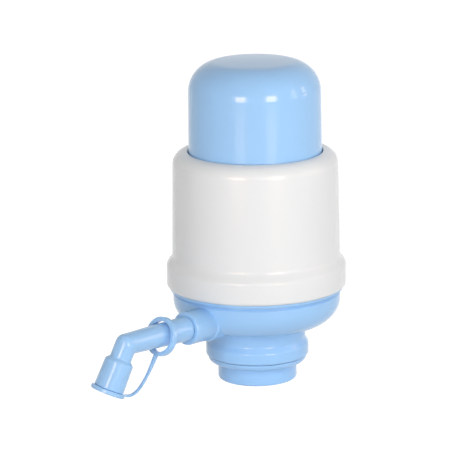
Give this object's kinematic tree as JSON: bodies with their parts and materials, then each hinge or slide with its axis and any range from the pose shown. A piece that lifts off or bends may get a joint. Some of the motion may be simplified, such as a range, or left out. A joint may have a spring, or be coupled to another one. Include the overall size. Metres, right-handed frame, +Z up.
{
  "type": "water jug hand pump",
  "caption": "Hand pump that stands on a jug's neck: a domed push button, a shell with a flared band, a bowl with a stepped neck, and a bent side spout with a tethered cap.",
  "frame": {"origin": "centre of the footprint on the surface that the neck adapter's rim stands on; the pump's own axis stands 0.03721 m behind it, along +Y", "axes": "+Z up along the pump's axis, -Y the way the spout points, +X to the right of someone who faces the spout's back"},
  "size_m": [0.0948, 0.1694, 0.1715],
  "materials": {
    "light_blue_plastic": "glossy moulded plastic, light blue",
    "white_plastic": "glossy moulded plastic, white",
    "natural_plastic": "unpigmented moulded plastic, satin",
    "silicone": "translucent white silicone rubber, matt",
    "black_rubber": "black seal rubber, matt",
    "spring_steel": "bright drawn wire and screws"
  },
  "bodies": {
    "pump_body": {"base_bowl": "light_blue_plastic", "base_deck": "natural_plastic", "deck_gasket": "black_rubber", "water_channel": "natural_plastic", "channel_o_ring": "black_rubber", "outlet_valve": "silicone", "bellows": "silicone", "bellows_clamp_ring": "natural_plastic", "base_screw_1": "spring_steel", "base_screw_2": "spring_steel", "base_screw_3": "spring_steel", "base_screw_4": "spring_steel", "return_spring": "spring_steel", "casing": "white_plastic", "large_neck_gasket": "silicone"},
    "button": {"push_button": "light_blue_plastic", "push_plate": "natural_plastic", "inlet_valve": "silicone"},
    "spout_arm": {"spout": "light_blue_plastic", "spout_o_ring": "black_rubber", "tether_ring": "light_blue_plastic", "tether_strap": "light_blue_plastic"},
    "cap": {"outlet_cap": "light_blue_plastic"},
    "adapter": {"neck_adapter": "light_blue_plastic", "small_neck_gasket": "silicone"}
  },
  "joints": [
    {"name": "button_press", "type": "slide", "parent": "pump_body", "child": "button", "axis": [0, 0, -1], "range_m": [0, 0.038], "stiffness_N_per_m": 450, "springref_m": -0.012, "deforming": ["bellows", "return_spring"]},
    {"name": "spout_swivel", "type": "hinge", "parent": "pump_body", "child": "spout_arm", "pos_m": [0, 0.03721, 0.0365], "axis": [0, -0.9993, 0.0384], "continuous": true},
    {"name": "cap_pull", "type": "slide", "parent": "spout_arm", "child": "cap", "axis": [-0.1627, -0.3854, -0.9083], "range_m": [0, 0.0065], "deforming": ["tether_strap"]},
    {"name": "adapter_pull", "type": "slide", "parent": "pump_body", "child": "adapter", "axis": [0, 0, -1], "range_m": [0, 0.0095]}
  ]
}
